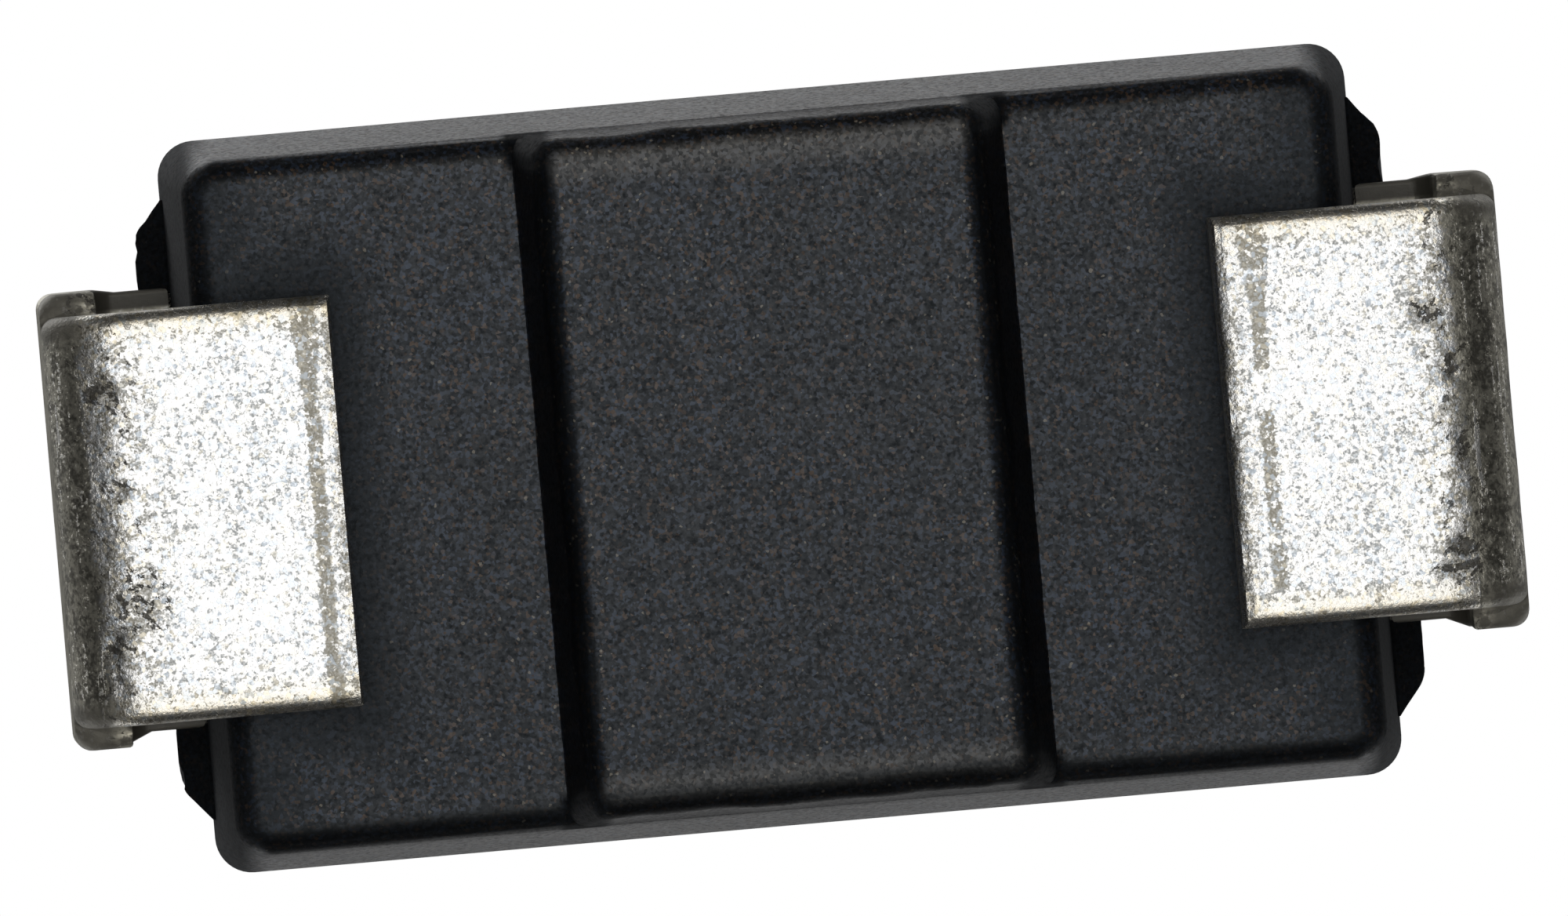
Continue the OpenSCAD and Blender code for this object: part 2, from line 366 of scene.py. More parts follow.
class Value:
    """A shader socket that takes part in sums. Each sum adds a Math node."""

    def __init__(self, shader, socket):
        self.shader = shader
        self.socket = socket

    def math(self, operation, *terms):
        return self.shader.add("ShaderNodeMath", {"operation": operation}, dict(enumerate(terms)))

    def __add__(self, other):
        return self.math("ADD", self, other)

    def __sub__(self, other):
        return self.math("SUBTRACT", self, other)

    def __rsub__(self, other):
        return self.math("SUBTRACT", other, self)

    def __mul__(self, other):
        return self.math("MULTIPLY", self, other)

    def __abs__(self):
        return self.math("ABSOLUTE", self)

    __radd__ = __add__
    __rmul__ = __mul__

    def most(self, other):
        return self.math("MAXIMUM", self, other)

    def least(self, other):
        return self.math("MINIMUM", self, other)


class Shader:
    """Builds one node tree."""

    def __init__(self, tree):
        self.tree = tree
        tree.nodes.clear()

    def add(self, kind, settings=None, inputs=None, output=0):
        """Adds a node: its settings first, then the values or links of its sockets."""
        node = self.tree.nodes.new(kind)
        for key, setting in (settings or {}).items():
            setattr(node, key, setting)
        for key, given in (inputs or {}).items():
            if isinstance(given, Value):
                self.tree.links.new(given.socket, node.inputs[key])
            else:
                node.inputs[key].default_value = given
        return Value(self, node.outputs[output]) if output is not None else None

    def place(self, stretch=(1, 1, 1), shift=(0, 0, 0)):
        """Object coordinates in millimetres, stretched and shifted."""
        at = self.add("ShaderNodeTexCoord", output="Object")
        scale = [s / MM for s in stretch]
        return self.add("ShaderNodeMapping", {"vector_type": "POINT"},
                        {"Vector": at, "Location": shift, "Scale": scale})

    def slanted(self, pitch, turn, shift):
        """Object coordinates turned about Z, in units of a pitch along and across in millimetres."""
        at = self.add("ShaderNodeTexCoord", output="Object")
        scale = [p * MM for p in (*pitch, 1.0)]
        return self.add("ShaderNodeMapping", {"vector_type": "TEXTURE"},
                        {"Vector": at, "Location": [s * MM for s in shift], "Rotation": (0, 0, turn),
                         "Scale": scale})

    def axes(self, place):
        """The three parts of a place."""
        first = self.add("ShaderNodeSeparateXYZ", inputs={"Vector": place})
        return [Value(self, socket) for socket in first.socket.node.outputs]

    def noise(self, place, scale, detail=2.0, roughness=0.5):
        return self.add("ShaderNodeTexNoise", {}, {"Vector": place, "Scale": scale, "Detail": detail,
                                                    "Roughness": roughness}, "Fac")

    def cells(self, place, scale):
        """Cells of random colour."""
        return self.add("ShaderNodeTexVoronoi", {"feature": "F1"},
                        {"Vector": place, "Scale": scale}, "Color")

    def ramp(self, value, low, high):
        """0 below low, 1 above high, with an easy ramp between."""
        return self.add("ShaderNodeMapRange", {"interpolation_type": "SMOOTHSTEP", "clamp": True},
                        {"Value": value, "From Min": low, "From Max": high})

    def near(self, value, place, start, stop):
        """A ramp from 0 to 1 whose two ends are given from a place."""
        return self.ramp(value, place + start, place + stop)

    def mix(self, share, first, second, blend="MIX"):
        """Mixes two colours."""
        first, second = [c if isinstance(c, Value) else (*c[:3], 1.0) for c in (first, second)]
        return self.add("ShaderNodeMix", {"data_type": "RGBA", "blend_type": blend},
                        {0: share, 6: first, 7: second}, 2)

    def bump(self, height, distance, strength):
        return self.add("ShaderNodeBump", {},
                        {"Height": height, "Distance": distance, "Strength": strength})


def new_material(name):
    """An empty material and the shader that fills it."""
    material = bpy.data.materials.new(name)
    material.use_nodes = True
    return material, Shader(material.node_tree)


def shaded(tint, share):
    """A darker shade of a colour."""
    return [c * share for c in tint]


def end_in(shader, kind, inputs):
    """Ends a tree in an output node, fed by a surface of the given kind."""
    skin = shader.add(kind, {}, inputs)
    shader.add("ShaderNodeOutputMaterial", {}, {"Surface": skin}, None)


def epoxy_material(finish, size, lead):
    """Black filled epoxy: a speckle of filler grains, some of them bare, under a broken satin skin, with
    painted shade in the steps, on the walls' falls and round the feet.
    """
    material, sh = new_material("moulded_epoxy")
    place = sh.place()
    x, y, z = sh.axes(place)
    # Where the pedestal's face rounds off, its step ends on the panel, and the end walls begin
    face_z, panel_z = BODY_LOW.z, size.panel_height
    rounding = fillet(size.pedestal_radius, size.pedestal_slope)
    step_x = size.pedestal_length / 2
    face_x = step_x - (panel_z - face_z) * math.tan(size.pedestal_slope) - rounding
    face_y = BODY_HIGH.y - (PARTING_Z - face_z) * math.tan(size.draft) - size.pedestal_inset - rounding
    end_x = BODY_HIGH.x - size.ledge_out - (PARTING_Z - panel_z) * math.tan(size.draft) - size.edge_radius
    tip_x, foot_y = tip_place(lead), foot_side(lead)

    clouds = sh.noise(place, EPOXY_CLOUDS, 3.0, 0.55)
    grain = sh.noise(place, EPOXY_GRAIN, 2.0, 0.55)
    red, green = sh.axes(sh.cells(place, FILLER))[:2]
    spark = sh.axes(sh.cells(place, BARE_FILLER))[2]
    base = sh.mix(sh.ramp(0.7 * red + 0.3 * grain, 0.52, 0.85), finish.epoxy, finish.epoxy_cool)
    base = sh.mix(sh.ramp(green, 0.78, 0.99) * 0.9, base, finish.epoxy_warm)
    base = sh.mix(sh.ramp(grain, 0.50, 0.30), base, finish.epoxy_dark)
    base = sh.mix(0.35 * sh.ramp(clouds, 0.30, 0.70), base, finish.epoxy_dark)
    # Rubbed along the long edges, where more of the filler lies bare
    low = sh.near(z, face_z, 0.10, 0.04)
    level = 0.85 * sh.near(z, face_z, 0.020, 0.002) + 0.1 * sh.near(z, panel_z, 0.018, 0.004)
    rubbed = sh.near(abs(y), face_y, -0.112, -0.012) * level
    base = sh.mix(rubbed * (0.28 + 0.42 * sh.ramp(red + grain, 0.5, 1.4)), base, finish.epoxy_rubbed)
    edge = sh.near(abs(x), face_x, -0.057, 0.023).most(sh.near(abs(y), face_y, -0.092, 0.008)) * low
    bare = sh.ramp(spark + 0.012 * edge, 0.993, 0.999)
    base = sh.mix(bare * 0.7, base, finish.speck)
    # Painted shade: darker in the steps beside the pedestal, round the feet, towards the panels' ends, on
    # the end walls below the parting line and where the walls fall away from the panels, more so at the
    # back
    beside = sh.near(abs(x), face_x, 0.003, 0.063)
    mouth = beside * sh.near(abs(x), step_x, 0.045, 0.005) * sh.near(abs(y), face_y, -0.032, 0.018)
    mouth = mouth * sh.near(z, panel_z, 0.12, 0.08)
    wall = (beside * sh.near(z, panel_z, -0.002, -0.020)).most(mouth)
    end = sh.near(abs(x), end_x, -0.008, 0.102) * sh.near(z, PARTING_Z, 0.15, 0.0)
    rear_shade = sh.ramp(y, -0.5, 0.5)
    early = rear_shade * low
    fall = sh.near(abs(y) + 0.030 * early, face_y, -0.002, 0.038) * sh.near(z, panel_z, 0.25, 0.10)
    fall = fall * sh.near(z + 0.024 * early, face_z, 0.005, 0.030)
    foot = sh.near(abs(x), tip_x, -0.25, -0.02) * sh.near(abs(y), foot_y, 0.325, 0.035)
    panel = (0.75 * foot).most(0.70 * sh.near(abs(x), end_x, -0.308, 0.042))
    panel = panel * sh.near(z, panel_z, -0.020, -0.002) * sh.near(z, panel_z, 0.20, 0.10)
    recess_shade = (0.9 * wall.most(end)).most(panel)
    base = sh.mix(recess_shade.most(fall * (0.30 + 0.55 * rear_shade)), base, finish.epoxy_dark)

    # Painted shade in the gloss as well: the skin is thinner towards the back and on the panels beyond the
    # steps, and gone where the shade is painted
    uneven_and_shaded = 0.85 + 0.3 * clouds - 0.13 * y - 0.07 * sh.near(abs(x), step_x, -0.065, 0.085)
    open_share = (1.0 - 1.1 * recess_shade) * (1.0 - 0.6 * rear_shade * fall)
    skin = 0.68 * sh.ramp(0.4 * red + 0.6 * grain, 0.14, 0.86) * uneven_and_shaded * open_share
    pits = sh.ramp(grain, 0.56, 0.30)
    rough = 0.28 + 0.14 * pits + 0.08 * clouds + 0.5 * mouth.most(end)
    height = 0.7 * grain + 0.3 * red
    end_in(sh, PRINCIPLED, {"Base Color": base, "Roughness": rough, "Specular IOR Level": 0.23,
                            "Specular Tint": (0.78, 0.89, 1.0, 1.0), "Coat Weight": skin,
                            "Coat Roughness": 0.30, "Normal": sh.bump(height, 1.5e-6, 0.5)})
    return material


def band_material(finish):
    """Marked surface of the cathode band: the skin of the epoxy turned pale and slightly rough."""
    material, sh = new_material("band_mark")
    place = sh.place()
    grain = sh.noise(place, EPOXY_GRAIN, 3.0, 0.7)
    lines = sh.noise(sh.place((40, 1.5, 1)), 1.0, 2.0, 0.5)
    worn = sh.ramp(0.7 * grain + 0.3 * lines, 0.36, 0.62)
    base = sh.mix(worn, shaded(finish.band, 0.55), finish.band)
    end_in(sh, PRINCIPLED, {"Base Color": base, "Roughness": 0.62 + 0.15 * grain,
                            "Normal": sh.bump(grain, 3.0e-6, 0.5)})
    return material


def tin_material(finish, size, end):
    """Matt tin plate: mottled grains, greyer at the edges, gouged and dull at the bend, with painted shade
    in the crease, over the bend, on the ears and the neck, and a painted highlight along the sides.
    """
    material, sh = new_material("tin_" + end.node)
    place = sh.place(shift=(end.seed, 0, 0))
    x, y, z = sh.axes(sh.place())
    reach = abs(x)
    tip_x, bend_x = tip_place(size), bend_place(size)
    bend_z = STRIP_T + size.bend_radius
    foot_y = foot_side(size)
    side_y = foot_y - size.punch_roll
    grain = sh.noise(place, TIN_GRAIN, 3.0, 0.65)
    fine = sh.noise(place, TIN_FINE, 2.0, 0.6)
    blots = sh.noise(place, TIN_BLOTS, 3.0, 0.6)
    broad = sh.noise(place, TIN_BROAD, 3.0, 0.6)
    red, green, blue = sh.axes(sh.cells(place, TIN_TINTS))

    # Greyer towards the sides, the tip and the bend; darker along the crease, which is painted shade
    sides = sh.near(abs(y), side_y, -0.10, 0.02)
    tip = sh.near(reach, tip_x, end.tip_radius + 0.05, 0.3 * end.tip_radius)
    bend = sh.near(reach, bend_x, -0.18, 0.06)
    margin = sides.most(tip).most(bend)
    stray = abs(reach - (tip_x + end.crease) + 0.03 * broad + 0.02 * blots + 0.03 * grain - 0.04)
    crease = sh.ramp(stray - 0.025 * sh.ramp(y, -0.35, -0.65), 0.034, 0.018)
    if end.side > 0:
        crease = crease * sh.ramp(sh.noise(sh.place((0, 1, 0), (end.seed, 0, 0)), 5.5, 1.0), 0.42, 0.50)
    scuffed = 0.0
    for scuff in end.scuffs:
        centred = sh.place((1 / scuff.length, 1 / scuff.width, 0),
                           (-end.side * scuff.x / scuff.length, -scuff.y / scuff.width, 0))
        distance = sh.add("ShaderNodeVectorMath", {"operation": "LENGTH"}, {0: centred}, "Value")
        scuffed = (scuff.depth * sh.ramp(distance, 1.1, 0.2)).most(scuffed)

    patches = sh.ramp(blots, 0.42, 0.58)
    level = 0.55 * grain + 0.28 * fine + 0.17 * red + 0.22 * broad - 0.05 - 0.12 * margin * patches
    # Painted highlight: a brighter line along the rolled sides, away from the bend
    side_highlight = sh.near(abs(y), side_y, -0.04, -0.01) * (1.0 - bend)
    level = level - 0.15 * crease - 0.10 * scuffed.least(1.0) + (0.10 + 0.02 * end.side) * side_highlight
    lit = sh.ramp(level, 0.44, 0.56)
    hollow = sh.mix(margin.most(crease).most(scuffed.least(1.0)), finish.tin_grey, finish.tin_olive)
    hollow = sh.mix((0.45 - 0.25 * crease) * sh.ramp(fine, 0.42, 0.60), hollow, finish.tin_bright)
    bright = sh.mix(lit, hollow, finish.tin_bright)
    bright = sh.mix(sh.ramp(green, 0.74, 0.96) * (0.35 + 0.35 * margin), bright, finish.tin_warm)
    bright = sh.mix(sh.ramp(blue, 0.72, 0.94) * 0.5, bright, finish.tin_cool)
    # Painted highlight: a warm tint along the sides
    bright = sh.mix(0.5 * sides, bright, finish.tin_warm, "MULTIPLY")

    # Drawn dull over the bend, with bright lines along it. The dull tone is partly painted shade, and its
    # lower part is darker still as painted shadow
    front = reach + 0.10 * broad + 0.06 * blots + 0.06 * grain + 0.03 * end.side - 0.02
    drawn = sh.near(front, bend_x, 0.185, 0.215).most(sh.near(z, bend_z, -0.22, -0.16))
    under = sh.near(z, bend_z, 0.06, -0.08)
    streaks = sh.noise(sh.place((34, 2.4, 34), (end.seed, 0, 0)), 1.0, 3.0, 0.65)
    line = sh.ramp(0.6 * streaks + 0.4 * grain, 0.56, 0.62)
    shadow = sh.mix(under, shaded(finish.tin_dull, 0.7), shaded(finish.tin_dull, 0.35))
    dull = sh.mix(sh.ramp(0.5 * blots + 0.5 * grain, 0.40, 0.58), shadow, finish.tin_dull)
    dull = sh.mix(line * 0.7, dull, finish.tin_bright)
    base = sh.mix(drawn, bright, dull)
    # Olive over the ears' rolled ends and the rolled sides at the bend, partly painted shade; the neck
    # behind them is dark with painted shade
    beside = sh.near(abs(y), foot_y, -0.01, 0.01)
    corner = sh.near(abs(y), side_y, -0.06, 0.0) * sh.near(reach, bend_x, 0.08, 0.16)
    glint = sh.near(reach, bend_x, 0.19, 0.15) * sh.ramp(blots, 0.44, 0.54)
    cut = (beside * (1.0 - glint)).most(corner) * sh.near(z, bend_z, 0.18, 0.10)
    base = sh.mix(0.85 * cut, base, shaded(finish.tin_olive, 0.45))
    neck = beside * sh.near(z, PARTING_Z, -0.33, -0.23) * sh.near(z, PARTING_Z, 0.0, -0.05)
    neck = neck * sh.near(reach, bend_x, 0.10, 0.07)
    base = sh.mix(neck, base, shaded(finish.tin_olive, 0.4))

    # Torn open by the forming tool
    worked = sh.near(reach, bend_x, -0.10, 0.04) * sh.near(reach, bend_x, 0.24, 0.14)
    slashes = sh.noise(sh.slanted((0.034, 0.058), 0.9 * end.side, (end.seed, 0, 0)), 1.0, 4.0, 0.7)
    torn = worked.most(sh.ramp(scuffed, 0.05, 0.35)) * sh.near(z, bend_z, 0.22, 0.07)
    gouged = sh.ramp(slashes + 0.10 * scuffed, 0.60, 0.65) * torn
    base = sh.mix(gouged * 0.85, base, finish.tin_bare)

    rough = (1.0 - drawn) * (0.40 - 0.16 * lit) + drawn * (0.30 + 0.14 * streaks - 0.08 * line)
    rough = rough + 0.2 * gouged.most(cut)
    flaky = (sh.near(reach, bend_x, 0.0, 0.06) * under).most(tip)
    plain = (1.0 - 0.7 * drawn) * (0.75 * grain + 0.25 * red)
    height = plain + 1.1 * flaky * grain + drawn * (0.35 * streaks + under * line) - 1.2 * gouged
    metal = 1.0 - 0.8 * neck.most(0.7 * cut)
    end_in(sh, PRINCIPLED, {"Base Color": base, "Metallic": metal, "Roughness": rough,
                            "Normal": sh.bump(height, 5.0e-6, 0.6)})
    return material


def plain_metal(name, tint, roughness, grain_scale):
    """Finish of a piece inside the moulding."""
    material, sh = new_material(name)
    grain = sh.noise(sh.place(), grain_scale, 3.0, 0.6)
    base = sh.mix(sh.ramp(grain, 0.3, 0.7), shaded(tint, 0.8), tint)
    end_in(sh, PRINCIPLED, {"Base Color": base, "Metallic": 1.0, "Roughness": roughness + 0.12 * grain,
                            "Normal": sh.bump(grain, 2.0e-6, 0.3)})
    return material


# Moulded body

def drafted_block(size):
    """The block that the two mould halves make, drafted away from the parting line and rounded."""
    bm = bmesh.new()
    block_l = BODY_HIGH.x - BODY_LOW.x - 2 * size.ledge_out
    block_w = BODY_HIGH.y - BODY_LOW.y
    land = size.parting_land / 2
    closed_box(bm, (-block_l / 2, -block_w / 2, PARTING_Z - land),
               (block_l / 2, block_w / 2, PARTING_Z + land))
    round_off(bm, upright_edges(bm), size.corner_radius, segments=10)
    for side, end_z in ((1, BODY_HIGH.z), (-1, size.panel_height)):
        rise = abs(end_z - PARTING_Z) - land
        draw = 2 * rise * math.tan(size.draft)
        end = sweep(bm, level_face(bm, side), 1, move=(0, 0, side * rise))
        bmesh.ops.scale(bm, vec=(1 - draw / block_l, 1 - draw / block_w, 1), verts=end.verts)
        round_off(bm, end.edges, fillet(size.edge_radius, size.draft), segments=8)
    return bm, block_l, block_w


def pedestal(size, block_w):
    """The raised middle of the underside, its root inside the block."""
    bm = bmesh.new()
    root_z = size.panel_height + size.edge_radius
    drop = root_z - BODY_LOW.z
    root_l = size.pedestal_length + 2 * size.edge_radius * math.tan(size.pedestal_slope)
    root_w = block_w - 2 * (PARTING_Z - root_z) * math.tan(size.draft) - 2 * size.pedestal_inset
    closed_box(bm, (-root_l / 2, -root_w / 2, BODY_LOW.z), (root_l / 2, root_w / 2, root_z))
    corners = upright_edges(bm)
    face = level_face(bm, -1)
    draw_l = 2 * drop * math.tan(size.pedestal_slope)
    draw_w = 2 * drop * math.tan(size.draft)
    bmesh.ops.scale(bm, vec=(1 - draw_l / root_l, 1 - draw_w / root_w, 1), verts=face.verts)
    rounding = fillet(size.pedestal_radius, size.pedestal_slope)
    round_off(bm, [*corners, *face.edges], rounding, segments=7)
    slice_up(bm, (0, 1, 0), -root_w / 2, root_w / 2, size.facet)
    slice_up(bm, (1, 0, 0), -root_l / 2, root_l / 2, size.facet)
    apart = Vector((0, 0, 6))
    for v in bm.verts:
        wave = [ripple(at, 7, 19, 0.6) for at in (v.co, v.co + apart)]
        v.co += Vector((*wave, 0)) * size.unevenness * smooth_step(root_z - v.co.z, 0.08, 0.20)
    return bm


def ledges(size, block_l, block_w):
    """The ledge beside both leads. It thins from the strip's height to a ragged outer edge."""
    bm = bmesh.new()
    root_y = block_w / 2 - size.ledge_side
    wall_x = block_l / 2
    outside_x = wall_x + 0.005
    closed_box(bm, (BODY_LOW.x, -root_y, PARTING_Z - STRIP_T / 2),
               (BODY_HIGH.x, root_y, PARTING_Z + STRIP_T / 2))
    for x in (-wall_x, wall_x):
        cut_line(bm, (1, 0, 0), x)
    for v in [v for v in bm.verts if abs(v.co.x) > outside_x]:
        v.co.y -= math.copysign(size.ledge_flank, v.co.y)
        v.co.z = PARTING_Z + math.copysign(size.ledge_edge / 2, v.co.z - PARTING_Z)
    corners = [e for e in upright_edges(bm) if abs(e.verts[0].co.x) > outside_x]
    round_off(bm, corners, size.ledge_radius, segments=5)
    rims = [e for e in bm.edges if min(abs(v.co.x) for v in e.verts) > outside_x
            and abs(e.verts[0].co.z - e.verts[1].co.z) < 1e-4
            and len(e.link_faces) == 2 and e.calc_face_angle() > 0.7]
    round_off(bm, rims, size.ledge_rim, segments=3)
    slice_up(bm, (0, 1, 0), -root_y, root_y, size.ledge_facet)
    for v in bm.verts:
        outside = smooth_step(abs(v.co.x), wall_x, wall_x + 0.05)
        ragged = ripple(v.co, 9, 23, 0.7)
        v.co.x -= math.copysign(outside * size.flash * max(0.0, ragged + 0.15), v.co.x)
    return bm


def band_tool(size, block_l, block_w):
    """The shallow box that marks the cathode end of the top."""
    bm = bmesh.new()
    rise = BODY_HIGH.z - PARTING_Z
    draw = (rise - size.edge_radius) * math.tan(size.draft) + size.edge_radius / math.cos(size.draft)
    low_x = draw - block_l / 2 + size.band_inset
    high_y = block_w / 2 - draw - size.band_margin
    closed_box(bm, (low_x, -high_y, BODY_HIGH.z - size.band_depth),
               (low_x + size.band_width, high_y, BODY_HIGH.z + size.band_depth))
    return bm


# Folded leads

def strip_section(bm, width, size):
    """Section of the strip at the tip of the foot: outer face down, with the punch's rounded edges."""
    place = Matrix.Translation((0, 0, STRIP_T / 2)) @ Matrix.Rotation(math.pi / 2, 4, "Y")
    bmesh.ops.create_grid(bm, x_segments=1, y_segments=1, size=0.5,
                          matrix=place @ Matrix.Diagonal((STRIP_T, width, 1, 1)))
    outer = [v for v in bm.verts if v.co.z < STRIP_T / 2]
    round_off(bm, outer, size.punch_roll, segments=7, affect="VERTICES")
    inner = [v for v in bm.verts if v.co.z > STRIP_T - 1e-4]
    round_off(bm, inner, size.sheared_edge, segments=2, affect="VERTICES")
    return bm.faces[:][0]


def neck_reach(size, v):
    """How far the neck stands out from the foot, on a point's side."""
    return size.neck_out if v.co.y > 0 else size.neck_front


def buried_end(bm, face, size, ledge_out, end):
    """Carries the strip from the upper bend into the body, where it spreads, joggles and meets the chip."""
    mid_r = size.joggle_radius + STRIP_T / 2
    ramp = (JOGGLE_RISE - 2 * mid_r * (1 - math.cos(size.joggle_slope))) / math.sin(size.joggle_slope)
    run = 2 * mid_r * math.sin(size.joggle_slope) + ramp * math.cos(size.joggle_slope)
    inner_x = DIE_HIGH.x + size.joggle_gap
    outer_x = inner_x + run
    block_end = BODY_HIGH.x - ledge_out
    taper_x = max(block_end - size.entry, outer_x + size.joggle_radius)
    face = sweep(bm, face, 1, move=(taper_x - bend_place(size), 0, 0))
    face = sweep(bm, face, 1, move=(outer_x - taper_x, 0, 0))
    for v in face.verts:
        v.co.y += math.copysign(end.chip_w / 2 - foot_side(size) - neck_reach(size, v), v.co.y)
    slope = end.side * size.joggle_slope
    face = sweep(bm, face, JOGGLE_STEPS, turn=slope, centre=(outer_x, 0, PARTING_Z + end.side * mid_r))
    way = Vector((-math.cos(size.joggle_slope), 0, end.side * math.sin(size.joggle_slope)))
    face = sweep(bm, face, 1, move=way * ramp)
    turn_z = PARTING_Z + end.side * (JOGGLE_RISE - mid_r)
    face = sweep(bm, face, JOGGLE_STEPS, turn=-slope, centre=(inner_x, 0, turn_z))
    sweep(bm, face, 1, move=(end.chip_x - inner_x, 0, 0))


def rounded_tip(bm, size, end):
    """Rounds the lower edge of the foot's tip."""
    tip_x = tip_place(size)
    for v in bm.verts:
        short = min(end.tip_radius, end.tip_radius - (v.co.x - tip_x))
        if short > 0 and v.co.z < STRIP_T / 2:
            lift = end.tip_radius - math.sqrt(end.tip_radius ** 2 - short ** 2)
            v.co.z += lift * (1 - v.co.z / (STRIP_T / 2))


def formed_lead(size, ledge_out, end):
    """A lead on the anode's side, from foot tip to chip end. Its joggle goes up for side 1, down for -1."""
    bm = bmesh.new()
    foot_w = 2 * foot_side(size)
    tip_x, bend_x = tip_place(size), bend_place(size)
    upper_z = PARTING_Z - STRIP_T / 2 - size.bend_radius
    lower_z = STRIP_T + size.bend_radius
    lower_x = bend_x - (upper_z - lower_z) * math.tan(size.lean)
    drop = (upper_z - lower_z) / math.cos(size.lean)
    rise_way = Vector((math.sin(size.lean), 0, math.cos(size.lean)))
    back_way = Vector((-math.cos(size.lean), 0, math.sin(size.lean)))
    quarter = math.pi / 2

    face = strip_section(bm, foot_w, size)
    bmesh.ops.translate(bm, vec=(tip_x, 0, 0), verts=bm.verts)
    pressed = size.anode_crease + 2 * size.crease_width
    face = sweep(bm, face, TIP_STEPS, move=(pressed, 0, 0))
    face = sweep(bm, face, FOOT_STEPS, move=(lower_x - tip_x - pressed, 0, 0))
    face = sweep(bm, face, LOWER_BEND_STEPS, turn=size.lean - quarter, centre=(lower_x, 0, lower_z))

    climb, spread = 0.0, 0.0
    rings = []
    for i in range(EAR_STEPS):
        height = size.sheared_edge + size.ear_fall * (1 - math.cos(i / (EAR_STEPS - 1) * quarter))
        inside = max(0.0, size.ear_radius - (height - size.sheared_edge))
        reach = size.ear_out - size.ear_radius + math.sqrt(size.ear_radius ** 2 - inside ** 2)
        above = size.ear_fall - (height - size.sheared_edge)
        face = sweep(bm, face, 1, move=rise_way * (height - climb))
        for v in face.verts:
            v.co.y += math.copysign(reach - spread, v.co.y)
        climb, spread = height, reach
        fall = size.ear_fall - math.sqrt(size.ear_fall ** 2 - above ** 2)
        rings.append((list(face.verts), face.calc_center_bounds(), spread, fall))
    face = sweep(bm, face, UPRIGHT_STEPS, move=rise_way * (drop - climb))
    for verts, centre, spread, fall in rings:
        for v in verts:
            outer = smooth_step((centre - v.co).dot(back_way), -0.05, STRIP_T / 2)
            edge = smooth_step(abs(v.co.y) - spread, foot_w / 2 - size.punch_roll, foot_w / 2)
            v.co += back_way * fall * outer * edge
    face = sweep(bm, face, UPPER_BEND_STEPS, turn=-quarter - size.lean, centre=(bend_x, 0, upper_z))
    for v in bm.verts:
        if v.co.z > upper_z - 0.05 and v.co.x < bend_x + size.ear_out and abs(v.co.y) > foot_w / 2 - 0.1:
            flare = 1 - max(0.0, v.co.x - bend_x) / size.ear_out
            v.co.y -= math.copysign((size.ear_out - neck_reach(size, v)) * flare, v.co.y)
    buried_end(bm, face, size, ledge_out, end)
    bmesh.ops.recalc_face_normals(bm, faces=bm.faces)
    rounded_tip(bm, size, end)
    return bm


def worn_outer_face(bm, size, end):
    """Presses the crease near the tip, the scuffs at the bend and a slight waviness into the outer face."""
    slice_up(bm, (0, 1, 0), -EAR_W / 2, EAR_W / 2, size.facet)
    bm.normal_update()
    tip_x, bend_x = tip_place(size), bend_place(size)
    outward = Vector((0.6, 0, -0.8))
    moves = []
    for v in bm.verts:
        x, y, z = v.co
        if x < tip_x - size.sheared_edge or v.normal.dot(outward) < 0.2 or z > PARTING_Z - STRIP_T:
            continue
        at = Vector((x + end.seed, y, z))
        push = size.waviness * noise.noise(at * 6)
        if z < size.punch_roll:
            wander = size.crease_wander * ripple(at, 4, 13, 0.5)
            low = end.crease - size.crease_width / 2
            lifted = 1 - smooth_step(x - tip_x + wander, low, low + size.crease_width)
            broken = smooth_step(noise.noise(Vector((end.seed, y * 5.5, 0))), -0.25, 0.05)
            kept = broken if end.side > 0 else 1.0
            push += size.crease_step * lifted * kept
        along = x - bend_x
        band = smooth_step(along, -0.12, 0.03) * (1 - smooth_step(along, 0.12, 0.22))
        rough = max(0.0, ripple(at, 17, 37, 0.5))
        push += 0.5 * size.scuff_depth * band * rough
        for scuff in end.scuffs:
            reach = math.hypot((x - scuff.x) / scuff.length, (y - scuff.y) / scuff.width)
            pitted = 0.55 + 0.9 * noise.noise(at * 21)
            push += size.scuff_depth * scuff.depth * (1 - smooth_step(reach, 0.3, 1.0)) * max(0.0, pitted)
        moves.append((v, v.normal * -push))
    for v, move in moves:
        v.co += move


# Operators

class DIODE_OT_moulded_body(bpy.types.Operator):
    """Models the moulded epoxy body with its pedestal, ledges and cathode band"""

    bl_idname = "diode.moulded_body"
    bl_label = "Moulded body"

    def execute(self, context):
        size = in_millimetres(context.scene.diode_body)
        finish = context.scene.diode_finish
        lead = in_millimetres(context.scene.diode_lead)
        block, block_l, block_w = drafted_block(size)
        body = new_piece("epoxy_body", block, 1.0)
        body.data.materials.append(epoxy_material(finish, size, lead))
        for shape in (pedestal(size, block_w), ledges(size, block_l, block_w)):
            combine(body, new_piece("addition", shape, 1.0), "UNION")
        mark = new_piece("cut", band_tool(size, block_l, block_w), 1.0)
        mark.data.materials.append(band_material(finish))
        combine(body, mark, "DIFFERENCE")
        body.data.transform(Matrix.Scale(MM, 4))
        shade(body, sharp_degrees=28)
        body.modifiers.new("Even normals", "WEIGHTED_NORMAL").keep_sharp = True
        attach(body, "root")
        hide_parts("moulded_body")
        return {"FINISHED"}


